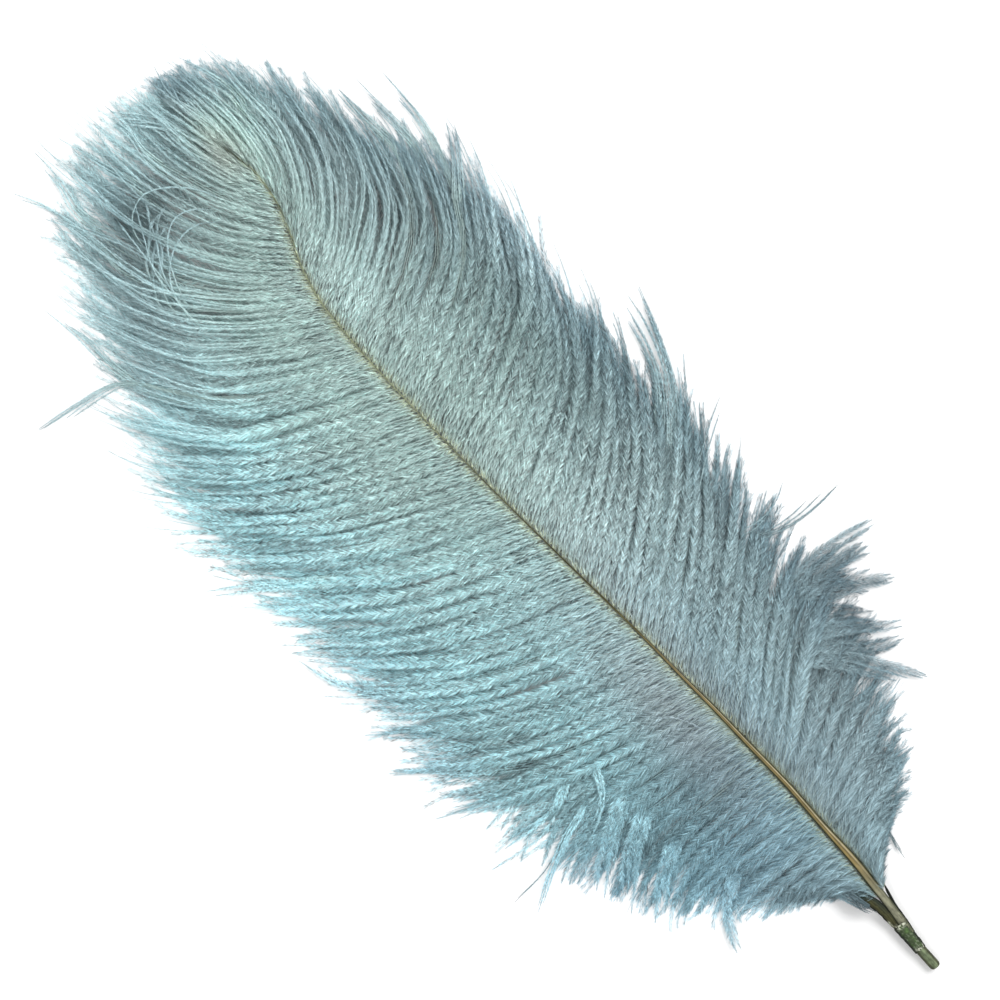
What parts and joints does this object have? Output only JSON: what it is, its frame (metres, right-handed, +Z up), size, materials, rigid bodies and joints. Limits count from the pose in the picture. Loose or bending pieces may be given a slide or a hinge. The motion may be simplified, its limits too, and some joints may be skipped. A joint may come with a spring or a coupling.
{
  "type": "ostrich feather",
  "caption": "Dyed ostrich wing plume lying flat: a cut quill and grooved shaft with two broad vanes of soft, drooping barbs gathered in locks.",
  "frame": {"origin": "middle of the plume's bounding box, on the surface it lies on", "axes": "+X along the plume from the cut quill to the tip, +Y towards the wider left vane, +Z up from the surface"},
  "size_m": [0.3298, 0.15, 0.012],
  "materials": {
    "plume_barbs": "soft matt barbs dyed pale teal"
  },
  "bodies": {
    "root": {"feather": "plume_barbs"}
  },
  "joints": []
}
